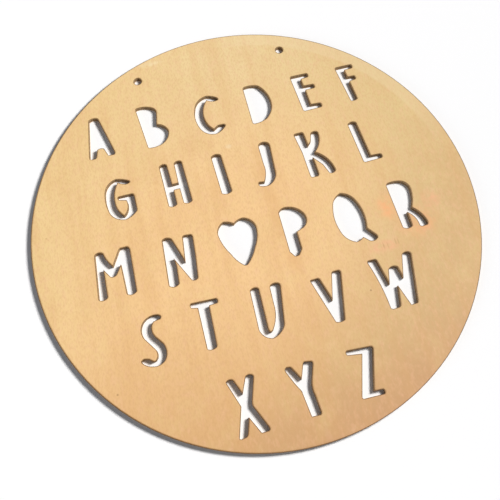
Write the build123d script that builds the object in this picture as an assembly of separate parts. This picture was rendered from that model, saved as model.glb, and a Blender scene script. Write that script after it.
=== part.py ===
from build123d import *
import os

# A flat round alphabet stencil, laser cut from one sheet of three-ply plywood.
# The disc lies in the XY plane with its back on Z = 0 and its front facing +Z.
# The letters stand upright along +Y, and the origin is the middle of the back.
# All sizes are in millimetres.

# The plywood blank
disc_diameter = 300.0
front_veneer_thickness = 0.9
core_veneer_thickness = 1.2
back_veneer_thickness = 0.9

# The lettering
letter_height = 33.0

# The two hanging holes near the top of the rim
hanging_hole_diameter = 5.6
hanging_hole_spacing = 108.4
hanging_hole_land = 9.9  # wood left between a hole and the rim
hanging_hole_offset = -1.4  # the pair sits a little left of the middle

# Where the middle of each cut-out lies, right and up from the middle of the disc, as shares of
# the disc's radius. The rows are hand set, so they wander and sink a little towards the right.
place_shares = {
    "A": (-0.611, 0.580),
    "B": (-0.349, 0.576),
    "C": (-0.081, 0.564),
    "D": (0.169, 0.567),
    "E": (0.408, 0.568),
    "F": (0.631, 0.563),
    "G": (-0.573, 0.240),
    "H": (-0.314, 0.251),
    "I": (-0.100, 0.244),
    "J": (0.102, 0.242),
    "K": (0.348, 0.235),
    "L": (0.597, 0.238),
    "M": (-0.664, -0.100),
    "N": (-0.375, -0.113),
    "heart": (-0.103, -0.102),
    "P": (0.153, -0.113),
    "Q": (0.411, -0.123),
    "R": (0.671, -0.121),
    "S": (-0.569, -0.427),
    "T": (-0.323, -0.422),
    "U": (-0.059, -0.434),
    "V": (0.209, -0.448),
    "W": (0.504, -0.450),
    "X": (-0.255, -0.781),
    "Y": (-0.013, -0.783),
    "Z": (0.246, -0.782),
}

# The outline of each cut-out about its own middle, as shares of the letter height. The first
# entry is the starting point. Each entry after it is a stretch that carries on from the last:
# one point is a straight edge, and pairs of points are arcs, each through its first point to
# its second. A straight edge closes the outline. Nothing is left standing inside a letter, so
# the bowls of A, B, D, P, Q and R are open right across and no bridge is needed.
outline_shares = {
    "A": [
        [(-0.268, -0.45)],
        [(-0.135, 0.46)],
        [(-0.04, 0.492), (0.062, 0.458)],
        [(0.27, -0.44)],
        [(0.255, -0.482)],
        [(0.13, -0.48)],
        [(0.068, -0.295)],
        [(0.0, -0.268), (-0.08, -0.29)],
        [(-0.13, -0.47)],
        [(-0.155, -0.49)],
        [(-0.25, -0.485)],
    ],
    "B": [
        [(-0.21, -0.495)],
        [(-0.29, 0.49)],
        [(-0.275, 0.512)],
        [(-0.12, 0.513), (0.04, 0.458), (0.105, 0.402), (0.13, 0.325)],
        [(0.07, 0.01)],
        [(0.195, -0.052), (0.285, -0.2), (0.222, -0.377), (0.04, -0.5)],
        [(-0.08, -0.52)],
        [(-0.19, -0.513)],
    ],
    "C": [
        [(0.288, 0.332)],
        [(0.292, 0.368)],
        [(0.185, 0.44), (0.05, 0.484), (-0.12, 0.42), (-0.25, 0.23), (-0.298, -0.03),
         (-0.25, -0.28), (-0.118, -0.443), (0.06, -0.488), (0.2, -0.425), (0.29, -0.335)],
        [(0.25, -0.305)],
        [(0.13, -0.303)],
        [(0.02, -0.375)],
        [(-0.082, -0.22), (-0.12, -0.02), (-0.078, 0.205), (0.045, 0.388)],
        [(0.115, 0.343), (0.21, 0.318)],
    ],
    "D": [
        [(-0.258, -0.462)],
        [(-0.237, 0.45)],
        [(-0.205, 0.475)],
        [(-0.06, 0.478), (0.09, 0.435), (0.205, 0.26), (0.262, 0.0), (0.2, -0.26), (0.06, -0.42),
         (-0.08, -0.47), (-0.22, -0.482)],
    ],
    "E": [
        [(-0.19, -0.44)],
        [(-0.228, 0.45)],
        [(-0.205, 0.468)],
        [(0.152, 0.464)],
        [(0.17, 0.418), (0.152, 0.372)],
        [(0.0, 0.362)],
        [(-0.018, 0.34)],
        [(-0.012, 0.16)],
        [(0.208, 0.153)],
        [(0.227, 0.106), (0.208, 0.059)],
        [(0.01, 0.058)],
        [(-0.003, 0.035)],
        [(0.0, -0.34)],
        [(0.212, -0.355)],
        [(0.232, -0.404), (0.212, -0.453)],
        [(-0.165, -0.462)],
    ],
    "F": [
        [(-0.118, -0.445)],
        [(-0.195, 0.44)],
        [(-0.175, 0.458)],
        [(0.173, 0.458)],
        [(0.192, 0.411), (0.173, 0.364)],
        [(0.0, 0.362)],
        [(-0.012, 0.34)],
        [(0.0, 0.158)],
        [(0.154, 0.152)],
        [(0.173, 0.106), (0.154, 0.06)],
        [(0.02, 0.05)],
        [(0.008, 0.02)],
        [(0.03, -0.44)],
        [(-0.038, -0.461), (-0.108, -0.455)],
    ],
    "G": [
        [(0.26, 0.33)],
        [(0.268, 0.352)],
        [(0.13, 0.423), (-0.02, 0.463), (-0.172, 0.385), (-0.275, 0.2), (-0.293, -0.05),
         (-0.25, -0.28), (-0.13, -0.418), (0.03, -0.47), (0.17, -0.422), (0.285, -0.33)],
        [(0.29, 0.02)],
        [(0.26, 0.055)],
        [(-0.04, 0.055)],
        [(-0.035, -0.01)],
        [(0.125, -0.055)],
        [(0.11, -0.27), (0.01, -0.39)],
        [(-0.08, -0.26), (-0.12, -0.03), (-0.077, 0.217), (0.02, 0.39)],
        [(0.1, 0.338), (0.2, 0.308)],
    ],
    "H": [
        [(-0.242, -0.466)],
        [(-0.244, 0.467)],
        [(-0.172, 0.495), (-0.098, 0.466)],
        [(-0.085, -0.01)],
        [(0.063, -0.002)],
        [(0.074, 0.469)],
        [(0.148, 0.497), (0.224, 0.467)],
        [(0.238, -0.466)],
        [(0.152, -0.497), (0.073, -0.468)],
        [(0.067, -0.128)],
        [(-0.065, -0.13)],
        [(-0.08, -0.15)],
        [(-0.082, -0.466)],
        [(-0.162, -0.496), (-0.242, -0.466)],
    ],
    "I": [
        [(-0.097, -0.443)],
        [(-0.109, 0.435)],
        [(-0.015, 0.47), (0.085, 0.43)],
        [(0.107, -0.44)],
        [(0.004, -0.474), (-0.097, -0.443)],
    ],
    "J": [
        [(0.008, 0.43)],
        [(0.03, 0.478)],
        [(0.12, 0.503), (0.21, 0.465)],
        [(0.238, 0.42)],
        [(0.183, -0.18)],
        [(0.12, -0.393), (0.0, -0.493), (-0.09, -0.505), (-0.205, -0.478)],
        [(-0.228, -0.435), (-0.213, -0.39)],
        [(-0.1, -0.408)],
        [(-0.033, -0.28), (0.0, 0.0)],
    ],
    "K": [
        [(-0.245, -0.51)],
        [(-0.25, 0.08)],
        [(-0.302, 0.53)],
        [(-0.28, 0.545)],
        [(-0.13, 0.547)],
        [(-0.103, 0.525)],
        [(-0.09, 0.205)],
        [(0.003, 0.295)],
        [(0.06, 0.475)],
        [(0.135, 0.502), (0.208, 0.468)],
        [(0.17, 0.25), (0.0, 0.02)],
        [(0.19, -0.17), (0.295, -0.497)],
        [(0.232, -0.541), (0.16, -0.525)],
        [(0.085, -0.3)],
        [(-0.075, -0.085)],
        [(-0.072, -0.5)],
        [(-0.1, -0.535)],
        [(-0.225, -0.53)],
    ],
    "L": [
        [(-0.192, -0.475)],
        [(-0.229, 0.46)],
        [(-0.141, 0.499), (-0.05, 0.464)],
        [(-0.012, -0.385)],
        [(0.205, -0.397)],
        [(0.223, -0.442), (0.205, -0.487)],
        [(-0.17, -0.498)],
    ],
    "M": [
        [(-0.382, -0.447)],
        [(-0.305, 0.469)],
        [(-0.226, 0.501), (-0.146, 0.469)],
        [(-0.075, 0.263), (0.0, 0.152)],
        [(0.18, 0.465)],
        [(0.205, 0.487)],
        [(0.35, 0.485)],
        [(0.385, 0.44)],
        [(0.349, -0.463)],
        [(0.257, -0.501), (0.168, -0.47)],
        [(0.162, 0.16)],
        [(0.052, -0.012)],
        [(-0.018, -0.058), (-0.078, -0.046)],
        [(-0.192, 0.14)],
        [(-0.215, -0.445)],
        [(-0.3, -0.477), (-0.382, -0.447)],
    ],
    "N": [
        [(-0.33, -0.462)],
        [(-0.262, 0.49)],
        [(-0.165, 0.513), (-0.08, 0.455)],
        [(0.083, -0.065)],
        [(0.15, 0.46)],
        [(0.17, 0.477)],
        [(0.31, 0.465)],
        [(0.338, 0.43)],
        [(0.3, 0.0)],
        [(0.241, -0.455)],
        [(0.182, -0.48), (0.123, -0.46)],
        [(-0.125, 0.07)],
        [(-0.108, -0.1)],
        [(-0.14, -0.47)],
        [(-0.237, -0.51), (-0.33, -0.462)],
    ],
    "heart": [
        [(-0.03, -0.5)],
        [(-0.12, -0.41), (-0.24, -0.2), (-0.342, 0.02), (-0.388, 0.24), (-0.337, 0.415),
         (-0.235, 0.497), (-0.12, 0.468), (-0.03, 0.408)],
        [(0.06, 0.466), (0.17, 0.487), (0.307, 0.405), (0.387, 0.24), (0.352, 0.03),
         (0.25, -0.18), (0.14, -0.36), (0.02, -0.49)],
    ],
    "P": [
        [(-0.262, -0.41)],
        [(-0.245, 0.45)],
        [(-0.18, 0.515), (-0.08, 0.53), (0.09, 0.473), (0.22, 0.34), (0.253, 0.165), (0.15, 0.025)],
        [(-0.015, -0.035)],
        [(-0.022, -0.41)],
        [(-0.11, -0.523)],
        [(-0.19, -0.527)],
    ],
    "Q": [
        [(0.07, -0.447)],
        [(0.0, -0.495), (-0.09, -0.513), (-0.237, -0.405), (-0.33, -0.2), (-0.358, 0.06),
         (-0.31, 0.32), (-0.207, 0.505), (-0.08, 0.582), (0.058, 0.515), (0.17, 0.37),
         (0.243, 0.08), (0.2, -0.285)],
        [(0.345, -0.485)],
        [(0.355, -0.525)],
        [(0.262, -0.575), (0.18, -0.557)],
    ],
    "R": [
        [(-0.26, -0.475)],
        [(-0.267, 0.49)],
        [(-0.235, 0.53)],
        [(-0.1, 0.54), (0.06, 0.508), (0.152, 0.425), (0.187, 0.28), (0.143, 0.08),
         (0.058, -0.107)],
        [(0.178, -0.245), (0.265, -0.49)],
        [(0.245, -0.54)],
        [(0.115, -0.548)],
        [(0.088, -0.52)],
        [(0.052, -0.32), (-0.06, -0.175)],
        [(-0.067, -0.485)],
        [(-0.163, -0.517), (-0.26, -0.475)],
    ],
    "S": [
        [(0.24, 0.373)],
        [(0.265, 0.415)],
        [(0.215, 0.458)],
        [(0.075, 0.466), (-0.06, 0.405), (-0.15, 0.24), (-0.115, 0.065)],
        [(0.035, -0.165)],
        [(0.063, -0.25), (0.045, -0.335)],
        [(0.01, -0.38)],
        [(-0.035, -0.395)],
        [(-0.13, -0.32)],
        [(-0.22, -0.3)],
        [(-0.267, -0.33)],
        [(-0.185, -0.422), (-0.08, -0.467), (0.05, -0.475), (0.16, -0.42), (0.225, -0.26),
         (0.19, -0.1)],
        [(0.095, 0.03)],
        [(0.038, 0.17), (0.06, 0.3)],
        [(0.105, 0.355)],
        [(0.195, 0.372)],
    ],
    "T": [
        [(-0.144, -0.45)],
        [(-0.13, 0.367)],
        [(-0.25, 0.395)],
        [(-0.267, 0.437), (-0.247, 0.476)],
        [(0.246, 0.453)],
        [(0.264, 0.41), (0.246, 0.367)],
        [(0.09, 0.362)],
        [(0.075, 0.34)],
        [(0.035, -0.445)],
        [(-0.055, -0.476), (-0.144, -0.45)],
    ],
    "U": [
        [(-0.315, -0.3)],
        [(-0.277, 0.482)],
        [(-0.198, 0.516), (-0.114, 0.482)],
        [(-0.15, -0.33)],
        [(-0.135, -0.39)],
        [(-0.1, -0.397)],
        [(-0.058, -0.368)],
        [(0.045, -0.18), (0.095, 0.12)],
        [(0.112, 0.44)],
        [(0.135, 0.487)],
        [(0.22, 0.505), (0.3, 0.475)],
        [(0.312, 0.44)],
        [(0.17, -0.32)],
        [(0.04, -0.465), (-0.11, -0.518), (-0.237, -0.45), (-0.315, -0.3)],
    ],
    "V": [
        [(-0.08, -0.475)],
        [(-0.312, 0.432)],
        [(-0.155, 0.437)],
        [(-0.132, 0.41)],
        [(-0.012, -0.055)],
        [(0.145, 0.475)],
        [(0.165, 0.492)],
        [(0.285, 0.492)],
        [(0.315, 0.455)],
        [(0.09, -0.475)],
        [(0.02, -0.492), (-0.08, -0.475)],
    ],
    "W": [
        [(-0.32, -0.49)],
        [(-0.345, -0.05), (-0.45, 0.505)],
        [(-0.425, 0.525)],
        [(-0.29, 0.522)],
        [(-0.265, 0.5)],
        [(-0.18, -0.035)],
        [(-0.093, 0.257)],
        [(0.0, 0.295), (0.091, 0.258)],
        [(0.125, 0.015)],
        [(0.272, 0.48)],
        [(0.36, 0.51), (0.445, 0.465)],
        [(0.228, -0.49)],
        [(0.21, -0.522)],
        [(0.085, -0.525)],
        [(-0.033, -0.095)],
        [(-0.12, -0.48)],
        [(-0.15, -0.51)],
        [(-0.29, -0.515)],
    ],
    "X": [
        [(-0.285, -0.505)],
        [(-0.115, 0.02)],
        [(-0.274, 0.502)],
        [(-0.214, 0.529), (-0.146, 0.504)],
        [(-0.035, 0.222)],
        [(0.1, 0.512)],
        [(0.178, 0.526), (0.238, 0.485)],
        [(0.09, 0.05)],
        [(0.082, -0.02)],
        [(0.28, -0.48)],
        [(0.26, -0.51)],
        [(0.12, -0.51)],
        [(-0.03, -0.193)],
        [(-0.13, -0.48)],
        [(-0.16, -0.51)],
        [(-0.265, -0.522)],
    ],
    "Y": [
        [(-0.035, -0.475)],
        [(-0.08, 0.0)],
        [(-0.165, 0.165)],
        [(-0.262, 0.4)],
        [(-0.265, 0.45)],
        [(-0.235, 0.475)],
        [(-0.16, 0.462)],
        [(-0.02, 0.2)],
        [(0.095, 0.475)],
        [(0.115, 0.49)],
        [(0.245, 0.465)],
        [(0.265, 0.435)],
        [(0.145, 0.12)],
        [(0.12, 0.0), (0.13, -0.15)],
        [(0.147, -0.455)],
        [(0.13, -0.483)],
    ],
    "Z": [
        [(-0.232, -0.41)],
        [(0.03, 0.345)],
        [(-0.245, 0.39)],
        [(-0.258, 0.43), (-0.242, 0.465)],
        [(0.225, 0.432)],
        [(0.26, 0.4)],
        [(0.01, -0.355)],
        [(0.187, -0.368)],
        [(0.202, -0.41), (0.185, -0.449)],
        [(-0.215, -0.435)],
    ],
}


def cut_out(name):
    """The face of one letter-shaped aperture, at its place on the disc."""
    disc_radius = disc_diameter / 2
    middle = Vector(*place_shares[name]) * disc_radius

    def point(share):
        return middle + Vector(*share) * letter_height

    stretches = outline_shares[name]
    start = point(stretches[0][0])
    here = start
    edges = []
    for stretch in stretches[1:]:
        points = [point(share) for share in stretch]
        if len(points) == 1:
            edges.append(Edge.make_line(here, points[0]))
            here = points[0]
        for through, there in zip(points[::2], points[1::2]):
            edges.append(Edge.make_three_point_arc(here, through, there))
            here = there
    if here != start:
        edges.append(Edge.make_line(here, start))
    return Face(Wire(edges))


def hanging_holes():
    """The pair of round holes, level with each other and clear of the rim by the land."""
    disc_radius = disc_diameter / 2
    hole_radius = hanging_hole_diameter / 2
    reach = disc_radius - hanging_hole_land - hole_radius
    half_spacing = hanging_hole_spacing / 2
    height = (reach**2 - half_spacing**2) ** 0.5
    return [
        Pos(hanging_hole_offset + side * half_spacing, height) * Circle(hole_radius)
        for side in (-1, 1)
    ]


def cut_sheet():
    """The outline that the laser leaves: the round blank less every letter and hole."""
    blank = Circle(disc_diameter / 2)
    apertures = [cut_out(name) for name in place_shares]
    return blank - apertures - hanging_holes()


def ply(sheet, level, thickness):
    """One veneer of the plywood, from its lower level upwards."""
    return extrude(Pos(0, 0, level) * sheet, amount=thickness, dir=(0, 0, 1))


os.makedirs("parts", exist_ok=True)
sheet = cut_sheet()
core_level = back_veneer_thickness
front_level = core_level + core_veneer_thickness
plies = {
    "back_veneer": ply(sheet, 0, back_veneer_thickness),
    "core_veneer": ply(sheet, core_level, core_veneer_thickness),
    "front_veneer": ply(sheet, front_level, front_veneer_thickness),
}
for node, solid in plies.items():
    export_step(solid, f"parts/{node}.step")
    print(node, len(solid.solids()), round(solid.volume))
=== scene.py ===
import math

import bpy
from mathutils import Matrix, Vector

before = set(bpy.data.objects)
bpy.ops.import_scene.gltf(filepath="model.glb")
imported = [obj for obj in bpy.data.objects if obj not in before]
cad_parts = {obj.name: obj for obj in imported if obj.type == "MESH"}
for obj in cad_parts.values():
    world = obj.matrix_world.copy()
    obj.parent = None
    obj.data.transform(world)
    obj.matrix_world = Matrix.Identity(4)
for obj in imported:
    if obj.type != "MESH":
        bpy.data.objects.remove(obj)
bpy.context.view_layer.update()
print("frame loaded:", ", ".join(sorted(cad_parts)))

mm = 0.001  # metres in a millimetre


def toLinear(hexColour):
    # the sRGB curve, from a written colour to what a socket takes
    channels = [int(hexColour[i:i + 2], 16) / 255 for i in (0, 2, 4)]
    return [c / 12.92 if c <= 0.04045 else ((c + 0.055) / 1.055) ** 2.4 for c in channels] + [1.0]


def findSocket(sockets, name):
    # a number counts from the first; a name is the one that the node's options leave in use
    if isinstance(name, int):
        return sockets[name]
    return next(socket for socket in sockets if socket.name == name and socket.enabled)


def addNode(tree, kind, options=None, values=None, links=None):
    # links take a node, whose first output in use is meant, or one of its sockets
    node = tree.nodes.new(kind)
    for name, value in (options or {}).items():
        setattr(node, name, value)
    for name, value in (values or {}).items():
        findSocket(node.inputs, name).default_value = value
    for name, source in (links or {}).items():
        if isinstance(source, bpy.types.Node):
            source = next(output for output in source.outputs if output.enabled)
        tree.links.new(source, findSocket(node.inputs, name))
    return node


def newMaterial(name):
    material = bpy.data.materials.new(name)
    material.use_nodes = True
    material.node_tree.nodes.clear()
    return material, material.node_tree


def towardsAngle(degrees):
    # a level direction, counted from the right over the top
    return math.cos(math.radians(degrees)), math.sin(math.radians(degrees)), 0


# Camera

camera = {
    "place": (-44.89, -139.20, 343.22),  # mm
    "aim": (-10.80, -22.40, 3.0),  # on the front face, left of the middle and below it
    "roll": 0.93,  # degrees
    "lens": 39.66,  # mm
    "sensor": 36.0,  # mm
    "clip": (0.01, 100),  # metres
}


def makeCamera():
    data = bpy.data.cameras.new("camera")
    data.lens = camera["lens"]
    data.sensor_width = camera["sensor"]
    data.clip_start, data.clip_end = camera["clip"]
    eye = bpy.data.objects.new("camera", data)
    bpy.context.scene.collection.objects.link(eye)
    place = Vector(camera["place"]) * mm
    aim = Vector(camera["aim"]) * mm
    turn = (aim - place).to_track_quat("-Z", "Y").to_matrix().to_4x4()
    roll = Matrix.Rotation(math.radians(camera["roll"]), 4, "Z")
    eye.matrix_world = Matrix.Translation(place) @ turn @ roll
    bpy.context.scene.camera = eye


makeCamera()
print("camera set")


# Plywood

veneer = {
    "base": "f6cc92",
    "toneShadeAndSheen": [  # the sheet's slow change of tone, with painted shade and a painted sheen in it: a direction in degrees and a stretch of it in mm
        {"towards": 90, "from": 0, "to": 150, "colour": "eed49e"},  # painted sheen: greyer towards the top, where light glances off the face
        {"towards": 270, "from": 30, "to": 150, "colour": "dcae78"},  # pinker towards the bottom
        {"towards": 0, "from": 10, "to": 150, "colour": "dec38a"},  # painted shade: duller towards the right
        {"towards": 315, "from": 40, "to": 130, "colour": "d4b17a"},  # and painted shade, darker at the lower right
        {"towards": 285, "from": 95, "to": 155, "colour": "cc9e70"},  # and painted shade along the bottom rim
        {"towards": 150, "from": 40, "to": 150, "colour": "f0d095"},  # and yellower towards the upper left
    ],
    "grainTurn": 3.0,  # degrees from the letters' upright
    "wander": 4.0,  # mm that the grain strays sideways
    "wanderOver": 90.0,  # mm
    "figure": [  # what is seen in the grain: size across and along it in mm
        {"name": "streaks", "across": 8.0, "along": 130.0, "detail": 2.0,
         "low": 0.42, "high": 0.72, "colour": "dba86c", "strength": 0.24},
        {"name": "clouds", "across": 24.0, "along": 30.0, "detail": 5.0,
         "low": 0.35, "high": 0.7, "colour": "deb078", "strength": 0.22},
        {"name": "pale clouds", "across": 15.0, "along": 18.0, "detail": 4.0,
         "low": 0.45, "high": 0.75, "colour": "ecd292", "strength": 0.24},
        {"name": "pink mottle", "across": 2.2, "along": 4.5, "detail": 4.0,
         "low": 0.42, "high": 0.75, "colour": "efbd98", "strength": 0.32},
        # real fibres are 0.1 mm wide, so they are drawn coarser to show at all
        {"name": "fibres", "across": 0.9, "along": 2.2, "detail": 2.0,
         "low": 0.4, "high": 0.7, "colour": "cf9a66", "strength": 0.26},
    ],
    "breakUp": 0.6,  # how much of the figure is in its finer parts
    "roughness": 0.62,
    "fibreHeight": 0.02,  # mm
    "fibreRelief": 0.5,
}

marks = [
    # name, middle and size in mm, the mm over which it is blotched, colour and strength
    ("blush left of R", (87, -17), (22, 26), 6, "f6b27a", 0.8),
    ("blush under R", (103, -32), (40, 30), 6, "f3b07c", 0.8),
    ("blush right of R", (118, -19), (20, 18), 5, "f0b087", 0.6),
    ("blush under Q", (75, -43), (34, 12), 4, "f0b289", 0.8),
    ("mineral streak", (14, -5), (15, 190), 14, "e0ac72", 0.45),
    ("fleck under Q", (75.0, -42.7), (1.4, 6.5), 50, "b98a55", 0.50),
    ("second fleck", (77.7, -43.1), (1.4, 6.5), 50, "b98a55", 0.40),
    ("third fleck", (83.5, -41.7), (1.4, 6.5), 50, "b98a55", 0.55),
    ("fourth fleck", (85.3, -42.2), (1.4, 6.5), 50, "b98a55", 0.50),
    # painted shade: the light and dark of shallow ripples, drawn as colour
    ("painted ripple shade above H", (-30, 63), (34, 26), 1.3, "cf9c62", 0.2),
    # painted highlight: a dent catching the light, drawn as a pale spot
    ("painted dent highlight above I", (-4.9, 56.3), (6, 5), 2, "faeccb", 0.45),
    # painted sheen: a pale band just inside the rim at the top, where light glances off the face
    ("painted sheen at the top rim", (-44, 139), (26, 7), 3, "f8e4bb", 0.5),
    ("pin knot", (56.6, -69.2), (1.9, 1.9), 50, "8a5c30", 0.8),
    ("pin knot left", (-138.3, 20.6), (1.8, 1.8), 50, "a5743f", 0.6),
    ("pin knot low left", (-111.7, -90.4), (1.9, 1.9), 50, "8a5c30", 0.8),
]

markEdge = {
    "core": 0.2,  # share of a mark's size where it is at full strength
    "patchy": (0.3, 0.65),  # the stretch of the noise that blotches it
    "detail": 3.0,
}

paintedSheenRing = {  # painted sheen: a paler ring just inside the rim, at the upper right, where light glances off the face
    "from": 139.0, "to": 141.5,  # mm from the middle
    "towards": 48.0,  # degrees
    "around": (0.7, 0.95),  # cosines, where it fades in and is whole
    "colour": "f3dcb0",
    "strength": 0.27,
}

laserCut = {
    "faceLine": "5e3d20",  # scorched line along a cut, on the face
    "lineReach": 0.8,  # mm
    "lineFade": (0.93, 0.68),  # openness, where the line begins and is whole
    "lineSamples": 12,
    "paintedShadeBrown": "6b4a22",  # painted shade: a brown laid along the side of every cut that faces away from the lamp, where the shaded wall shows
    "paintedShadeReach": 2.0,  # mm
    "paintedShadeTowards": 208.0,  # degrees, the way that the edges with painted shade face
    "paintedShadeFade": (0.02, 0.45),  # lean, where the painted shade begins and is whole
    "paintedShadeSamples": 8,
    "cover": 0.9,  # the most that either hides of the wood
    "wallLight": "cdb088",
    "wallDark": "a48762",
    "coreLight": "a5875f",
    "coreDark": "705538",
    "striation": 0.6,  # mm between the marks that the beam leaves down a wall
    "striationLength": 10.0,  # mm, so each mark runs right down the wall
    "striationDetail": 3.0,
    "striationFade": (0.35, 0.65),
    "endGrain": 0.5,  # how much darker the beam burns the ends of the fibres
    "wallFrom": (0.7, 0.3),  # the upward share of the normal, where face turns to wall
    "roughness": 0.85,
}


def faceColour(tree, place):
    # the veneer's own colour over the sheet, with painted shade and painted sheen in it, and the height of
    # its fibres
    turned = addNode(
        tree, "ShaderNodeVectorRotate", {"rotation_type": "Z_AXIS"},
        {"Angle": math.radians(veneer["grainTurn"])}, {"Vector": place},
    )
    stray = addNode(
        tree, "ShaderNodeTexNoise", values={"Scale": 1 / veneer["wanderOver"], "Detail": 1.0},
        links={"Vector": place},
    )
    shift = addNode(
        tree, "ShaderNodeVectorMath", {"operation": "MULTIPLY_ADD"},
        {1: (2 * veneer["wander"], 0, 0)}, {0: stray.outputs["Color"], 2: turned},
    )
    colour = None
    # the tone drift carries painted shade to the right and bottom and a painted sheen at the top
    for part in veneer["toneShadeAndSheen"]:
        along = addNode(
            tree, "ShaderNodeVectorMath", {"operation": "DOT_PRODUCT"},
            {1: towardsAngle(part["towards"])}, {0: place},
        )
        amount = addNode(
            tree, "ShaderNodeMapRange", {"interpolation_type": "SMOOTHSTEP"},
            {"From Min": part["from"], "From Max": part["to"]}, {"Value": along.outputs["Value"]},
        )
        colour = addNode(
            tree, "ShaderNodeMix", {"data_type": "RGBA"},
            {"A": toLinear(veneer["base"]), "B": toLinear(part["colour"])},
            {"Factor": amount, "A": colour} if colour else {"Factor": amount},
        )
    for part in veneer["figure"]:
        stretched = addNode(
            tree, "ShaderNodeVectorMath", {"operation": "MULTIPLY"},
            {1: (1 / part["across"], 1 / part["along"], 1 / part["across"])}, {0: shift},
        )
        noise = addNode(
            tree, "ShaderNodeTexNoise", {"label": part["name"]},
            {"Scale": 1.0, "Detail": part["detail"], "Roughness": veneer["breakUp"]},
            {"Vector": stretched},
        )
        amount = addNode(
            tree, "ShaderNodeMapRange", {"interpolation_type": "SMOOTHSTEP"},
            {"From Min": part["low"], "From Max": part["high"], "To Max": part["strength"]},
            {"Value": noise},
        )
        colour = addNode(
            tree, "ShaderNodeMix", {"data_type": "RGBA"}, {"B": toLinear(part["colour"])},
            {"Factor": amount, "A": colour},
        )
    patchyFrom, patchyTo = markEdge["patchy"]
    for name, middle, size, blotchSize, tint, strength in marks:
        offset = addNode(
            tree, "ShaderNodeVectorMath", {"operation": "SUBTRACT"}, {1: (*middle, 0)}, {0: place}
        )
        spread = addNode(
            tree, "ShaderNodeVectorMath", {"operation": "MULTIPLY"},
            {1: (2 / size[0], 2 / size[1], 0)}, {0: offset},
        )
        away = addNode(tree, "ShaderNodeVectorMath", {"operation": "LENGTH"}, links={0: spread})
        near = addNode(
            tree, "ShaderNodeMapRange", {"interpolation_type": "SMOOTHSTEP"},
            {"From Min": 1.0, "From Max": markEdge["core"], "To Max": strength},
            {"Value": away.outputs["Value"]},
        )
        blotch = addNode(
            tree, "ShaderNodeTexNoise", values={"Scale": 1 / blotchSize, "Detail": markEdge["detail"]},
            links={"Vector": place},
        )
        patchy = addNode(
            tree, "ShaderNodeMapRange", values={"From Min": patchyFrom, "From Max": patchyTo},
            links={"Value": blotch},
        )
        amount = addNode(
            tree, "ShaderNodeMath", {"operation": "MULTIPLY", "use_clamp": True}, links={0: near, 1: patchy}
        )
        colour = addNode(
            tree, "ShaderNodeMix", {"data_type": "RGBA", "label": name}, {"B": toLinear(tint)},
            {"Factor": amount, "A": colour},
        )
    # painted sheen in a ring just inside the rim at the upper right
    level = addNode(tree, "ShaderNodeVectorMath", {"operation": "MULTIPLY"}, {1: (1, 1, 0)}, {0: place})
    radius = addNode(tree, "ShaderNodeVectorMath", {"operation": "LENGTH"}, links={0: level})
    outward = addNode(tree, "ShaderNodeVectorMath", {"operation": "NORMALIZE"}, links={0: level})
    facing = addNode(
        tree, "ShaderNodeVectorMath", {"operation": "DOT_PRODUCT"},
        {1: towardsAngle(paintedSheenRing["towards"])}, {0: outward},
    )
    aroundFrom, aroundTo = paintedSheenRing["around"]
    around = addNode(
        tree, "ShaderNodeMapRange", {"interpolation_type": "SMOOTHSTEP"},
        {"From Min": aroundFrom, "From Max": aroundTo, "To Max": paintedSheenRing["strength"]},
        {"Value": facing.outputs["Value"]},
    )
    ring = addNode(
        tree, "ShaderNodeMapRange", {"interpolation_type": "SMOOTHSTEP"},
        {"From Min": paintedSheenRing["from"], "From Max": paintedSheenRing["to"]}, {"Value": radius.outputs["Value"]},
    )
    amount = addNode(tree, "ShaderNodeMath", {"operation": "MULTIPLY"}, links={0: around, 1: ring})
    colour = addNode(
        tree, "ShaderNodeMix", {"data_type": "RGBA"}, {"B": toLinear(paintedSheenRing["colour"])},
        {"Factor": amount, "A": colour},
    )
    return colour, noise


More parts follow.
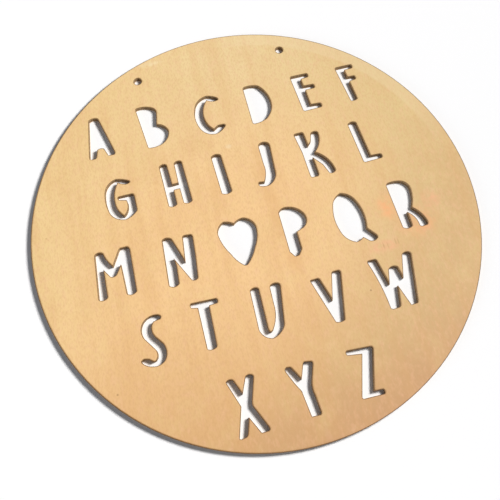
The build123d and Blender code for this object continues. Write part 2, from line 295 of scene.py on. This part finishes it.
def makePlywood(name, light, dark, fibreAxis):
    material, tree = newMaterial(name)
    spot = addNode(tree, "ShaderNodeTexCoord")
    place = addNode(
        tree, "ShaderNodeVectorMath", {"operation": "SCALE"}, {"Scale": 1 / mm}, {0: spot.outputs["Object"]}
    )
    face, fibres = faceColour(tree, place)
    # inside the sheet, only points near a cut see a wall close by
    inside = addNode(
        tree, "ShaderNodeAmbientOcclusion",
        {"inside": True, "only_local": True, "samples": laserCut["lineSamples"]},
        {"Distance": laserCut["lineReach"] * mm},
    )
    lineFrom, lineTo = laserCut["lineFade"]
    scorched = addNode(
        tree, "ShaderNodeMapRange", {"interpolation_type": "SMOOTHSTEP"},
        {"From Min": lineFrom, "From Max": lineTo, "To Max": laserCut["cover"]},
        {"Value": inside.outputs["AO"]},
    )
    face = addNode(
        tree, "ShaderNodeMix", {"data_type": "RGBA"}, {"B": toLinear(laserCut["faceLine"])},
        {"Factor": scorched, "A": face},
    )
    # a rounded normal leans out over a cut close by, and so tells which way that edge faces; edges facing
    # away from the lamp get painted shade in brown
    rounded = addNode(
        tree, "ShaderNodeBevel", {"samples": laserCut["paintedShadeSamples"]},
        {"Radius": laserCut["paintedShadeReach"] * mm},
    )
    lean = addNode(
        tree, "ShaderNodeVectorMath", {"operation": "DOT_PRODUCT"},
        {1: towardsAngle(laserCut["paintedShadeTowards"])}, {0: rounded},
    )
    paintedShadeFrom, paintedShadeTo = laserCut["paintedShadeFade"]
    paintedShade = addNode(
        tree, "ShaderNodeMapRange", {"interpolation_type": "SMOOTHSTEP"},
        {"From Min": paintedShadeFrom, "From Max": paintedShadeTo, "To Max": laserCut["cover"]},
        {"Value": lean.outputs["Value"]},
    )
    face = addNode(
        tree, "ShaderNodeMix", {"data_type": "RGBA"}, {"B": toLinear(laserCut["paintedShadeBrown"])},
        {"Factor": paintedShade, "A": face},
    )
    across, down = 1 / laserCut["striation"], 1 / laserCut["striationLength"]
    upright = addNode(
        tree, "ShaderNodeVectorMath", {"operation": "MULTIPLY"}, {1: (across, across, down)}, {0: place}
    )
    beam = addNode(
        tree, "ShaderNodeTexNoise", values={"Scale": 1.0, "Detail": laserCut["striationDetail"]},
        links={"Vector": upright},
    )
    burntFrom, burntTo = laserCut["striationFade"]
    burnt = addNode(
        tree, "ShaderNodeMapRange", values={"From Min": burntFrom, "From Max": burntTo},
        links={"Value": beam},
    )
    wall = addNode(
        tree, "ShaderNodeMix", {"data_type": "RGBA"}, {"A": toLinear(light), "B": toLinear(dark)},
        {"Factor": burnt},
    )
    geometry = addNode(tree, "ShaderNodeNewGeometry")
    normal = addNode(tree, "ShaderNodeSeparateXYZ", links={"Vector": geometry.outputs["True Normal"]})
    endGrain = addNode(
        tree, "ShaderNodeMath", {"operation": "ABSOLUTE"}, links={0: normal.outputs[fibreAxis]}
    )
    endAmount = addNode(
        tree, "ShaderNodeMath", {"operation": "MULTIPLY"}, {1: laserCut["endGrain"]}, {0: endGrain}
    )
    wall = addNode(
        tree, "ShaderNodeMix", {"data_type": "RGBA"}, {"B": toLinear(dark)},
        {"Factor": endAmount, "A": wall},
    )
    upness = addNode(tree, "ShaderNodeMath", {"operation": "ABSOLUTE"}, links={0: normal.outputs["Z"]})
    faceEnds, wallStarts = laserCut["wallFrom"]
    onWall = addNode(
        tree, "ShaderNodeMapRange", values={"From Min": faceEnds, "From Max": wallStarts},
        links={"Value": upness},
    )
    colour = addNode(
        tree, "ShaderNodeMix", {"data_type": "RGBA"}, links={"Factor": onWall, "A": face, "B": wall}
    )
    roughness = addNode(
        tree, "ShaderNodeMapRange", values={"To Min": veneer["roughness"], "To Max": laserCut["roughness"]},
        links={"Value": onWall},
    )
    bump = addNode(
        tree, "ShaderNodeBump",
        values={"Strength": veneer["fibreRelief"], "Distance": veneer["fibreHeight"] * mm},
        links={"Height": fibres},
    )
    skin = addNode(
        tree, "ShaderNodeBsdfPrincipled", values={"IOR": 1.5, "Specular IOR Level": 0.3},
        links={"Base Color": colour, "Roughness": roughness, "Normal": bump},
    )
    addNode(tree, "ShaderNodeOutputMaterial", links={"Surface": skin})
    return material


# Birch plywood, pressed, sanded and laser cut. The eye gets a pale, dull face with faint upright grain and
# painted shade and sheen in its tone, a thin scorched line along every cut, painted shade in brown on the
# side of each cut away from the lamp, and toasted brown walls with a darker core.
plies = {
    "front_veneer": makePlywood("sandedBirchFace", laserCut["wallLight"], laserCut["wallDark"], "Y"),
    "core_veneer": makePlywood("crossBandedBirchCore", laserCut["coreLight"], laserCut["coreDark"], "X"),
    "back_veneer": makePlywood("sandedBirchBack", laserCut["wallLight"], laserCut["wallDark"], "Y"),
}
for node, material in plies.items():
    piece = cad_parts[node]
    piece.data.materials.clear()
    piece.data.materials.append(material)
print("plywood finished")


# Floor and light

floor = {
    "size": 6.0,  # metres
    "bounce": "e6e6e6",  # what lights the object
    "seen": "ffffff",  # what the camera sees
}

deskLamp = {
    "place": (396, 4, 430),  # mm, near, so the shadows grow away from it as in the photo
    "floorLight": 0.84,  # what it gives a white floor
    "size": 88,  # mm, radius
    "colour": "fffdfb",
    "lowest": 0.1,  # least cosine that the reflector still makes up for
}

fill = {
    "azimuth": 195.0,  # degrees
    "elevation": 14.0,
    "strength": 0.55,
    "spread": 30.0,
    "colour": "f4f8ff",
}

sky = {
    "colour": "e8f1ff",  # cool for the shadows, which the wood warms
    "ambient": 0.146,
    "seen": "ffffff",
}


def seenDirectly(tree):
    # camera, mirror and glass rays see the plain white ground
    path = addNode(tree, "ShaderNodeLightPath")
    either = path.outputs["Is Camera Ray"]
    for name in ("Is Glossy Ray", "Is Transmission Ray"):
        either = addNode(
            tree, "ShaderNodeMath", {"operation": "MAXIMUM"}, links={0: either, 1: path.outputs[name]}
        )
    return either


def makeFloor():
    half = floor["size"] / 2
    corners = [(-half, -half, 0), (half, -half, 0), (half, half, 0), (-half, half, 0)]
    mesh = bpy.data.meshes.new("floor")
    mesh.from_pydata(corners, [], [(0, 1, 2, 3)])
    ground = bpy.data.objects.new("floor", mesh)
    bpy.context.scene.collection.objects.link(ground)
    # matt floor paint, rolled: an even white that only keeps the shadow
    material, tree = newMaterial("paleFloorPaint")
    colour = addNode(
        tree, "ShaderNodeMix", {"data_type": "RGBA"},
        {"A": toLinear(floor["bounce"]), "B": toLinear(floor["seen"])}, {"Factor": seenDirectly(tree)},
    )
    matt = addNode(tree, "ShaderNodeBsdfDiffuse", links={"Color": colour})
    addNode(tree, "ShaderNodeOutputMaterial", links={"Surface": matt})
    mesh.materials.append(material)


def makeDeskLamp():
    height = deskLamp["place"][2] * mm
    data = bpy.data.lights.new("deskLamp", "POINT")
    # straight below it, a point lamp gives its power over 4 pi^2 height^2
    data.energy = deskLamp["floorLight"] * 4 * math.pi ** 2 * height ** 2
    data.shadow_soft_size = deskLamp["size"] * mm
    data.color = toLinear(deskLamp["colour"])[:3]
    data.use_nodes = True
    tree = data.node_tree
    tree.nodes.clear()
    # its reflector spreads the light evenly over the table, as 1 / cosine cubed does
    ray = addNode(tree, "ShaderNodeTexCoord")
    axes = addNode(tree, "ShaderNodeSeparateXYZ", links={"Vector": ray.outputs["Normal"]})
    down = addNode(tree, "ShaderNodeMath", {"operation": "ABSOLUTE"}, links={0: axes.outputs["Z"]})
    kept = addNode(tree, "ShaderNodeMath", {"operation": "MAXIMUM"}, {1: deskLamp["lowest"]}, {0: down})
    spread = addNode(tree, "ShaderNodeMath", {"operation": "POWER"}, {1: -3.0}, {0: kept})
    glow = addNode(tree, "ShaderNodeEmission", links={"Strength": spread})
    addNode(tree, "ShaderNodeOutputLight", links={"Surface": glow})
    lamp = bpy.data.objects.new("deskLamp", data)
    lamp.location = Vector(deskLamp["place"]) * mm
    bpy.context.scene.collection.objects.link(lamp)


def makeFill():
    data = bpy.data.lights.new("fill", "SUN")
    data.energy = fill["strength"]
    data.angle = math.radians(fill["spread"])
    data.color = toLinear(fill["colour"])[:3]
    light = bpy.data.objects.new("fill", data)
    bpy.context.scene.collection.objects.link(light)
    elevation = math.radians(fill["elevation"])
    towards = Vector(towardsAngle(fill["azimuth"])) * math.cos(elevation)
    towards.z = math.sin(elevation)
    light.rotation_euler = towards.to_track_quat("Z", "Y").to_euler()
    light.location = towards


def makeSky():
    world = bpy.data.worlds.new("sky")
    bpy.context.scene.world = world
    world.use_nodes = True
    tree = world.node_tree
    tree.nodes.clear()
    direct = seenDirectly(tree)
    strength = addNode(
        tree, "ShaderNodeMapRange", values={"To Min": sky["ambient"], "To Max": 1.0},
        links={"Value": direct},
    )
    colour = addNode(
        tree, "ShaderNodeMix", {"data_type": "RGBA"},
        {"A": toLinear(sky["colour"]), "B": toLinear(sky["seen"])}, {"Factor": direct},
    )
    light = addNode(tree, "ShaderNodeBackground", links={"Color": colour, "Strength": strength})
    addNode(tree, "ShaderNodeOutputWorld", links={"Surface": light})


makeFloor()
makeDeskLamp()
makeFill()
makeSky()
bpy.context.scene.view_settings.view_transform = "Standard"
print("floor and light set")
